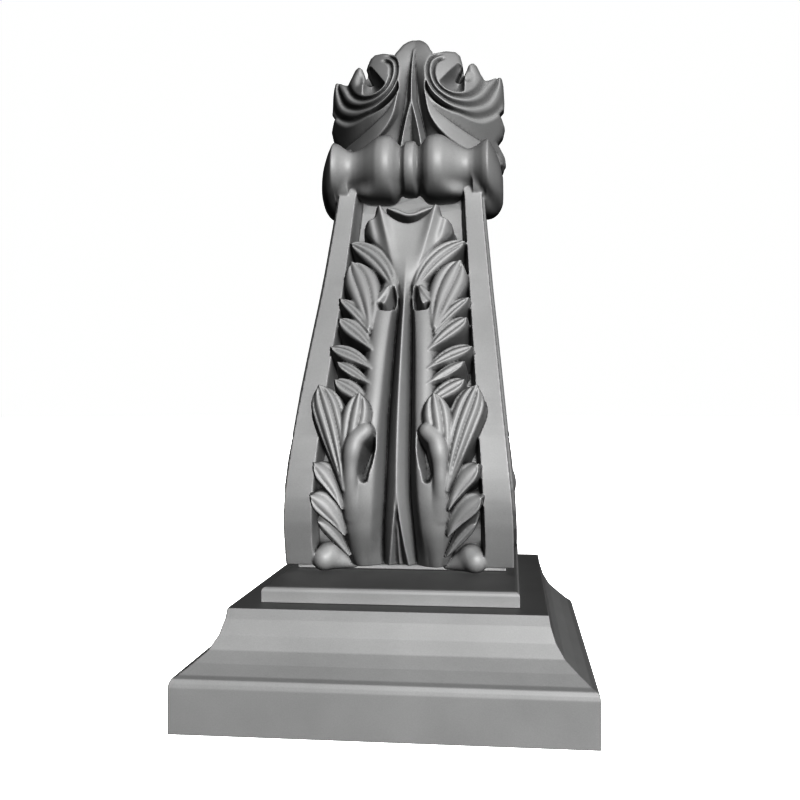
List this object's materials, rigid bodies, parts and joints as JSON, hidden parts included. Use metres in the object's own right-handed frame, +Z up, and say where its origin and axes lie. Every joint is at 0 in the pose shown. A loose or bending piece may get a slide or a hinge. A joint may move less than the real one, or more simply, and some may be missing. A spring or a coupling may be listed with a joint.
{
  "type": "carved corbel",
  "caption": "Tapering stone corbel with a carved acanthus front, flat side bands, a turned roll and a leaf crest, standing on a moulded plinth.",
  "frame": {"origin": "middle of the plinth's underside", "axes": "+Z up, +X to the right as seen from the front, +Y out of the flat back; the carved front faces -Y"},
  "size_m": [0.31, 0.322, 0.601],
  "materials": {
    "plinth_stone": "honed",
    "carved_stone": "satin, rubbed smooth"
  },
  "bodies": {
    "root": {"plinth": "plinth_stone", "slab": "plinth_stone", "corbel": "carved_stone"}
  },
  "joints": []
}
